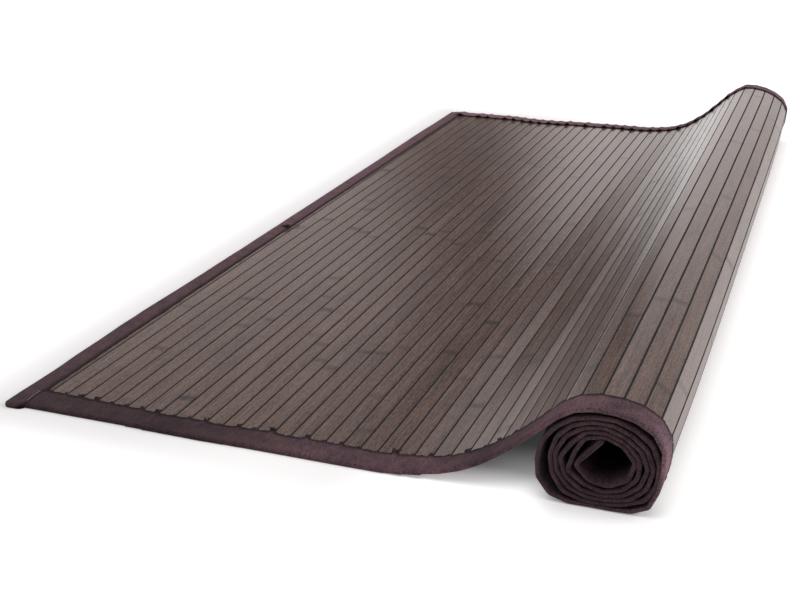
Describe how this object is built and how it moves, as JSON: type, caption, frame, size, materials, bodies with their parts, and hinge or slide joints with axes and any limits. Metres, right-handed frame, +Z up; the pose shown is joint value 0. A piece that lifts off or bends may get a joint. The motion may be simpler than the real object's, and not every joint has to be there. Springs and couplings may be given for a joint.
{
  "type": "bamboo rug",
  "caption": "Dark bamboo slat rug with cloth-taped edges, flat at one end and loosely rolled up at the other, to lay on a floor.",
  "frame": {"origin": "middle of the base, on the floor, midway between the flat end and the right side of the roll and midway between the two long taped edges", "axes": "+X across the slats from the flat end to the roll, +Y along the slats and the roll's length, +Z up"},
  "size_m": [0.6901, 1.5292, 0.1054],
  "materials": {
    "slat_mat": "satin",
    "binding_near": "matte",
    "binding_far": "matte",
    "binding_flat_end": "matte",
    "binding_inner_end": "matte"
  },
  "bodies": {
    "root": {"slat_mat": "slat_mat", "binding_near": "binding_near", "binding_far": "binding_far", "binding_flat_end": "binding_flat_end", "binding_inner_end": "binding_inner_end"}
  },
  "joints": []
}
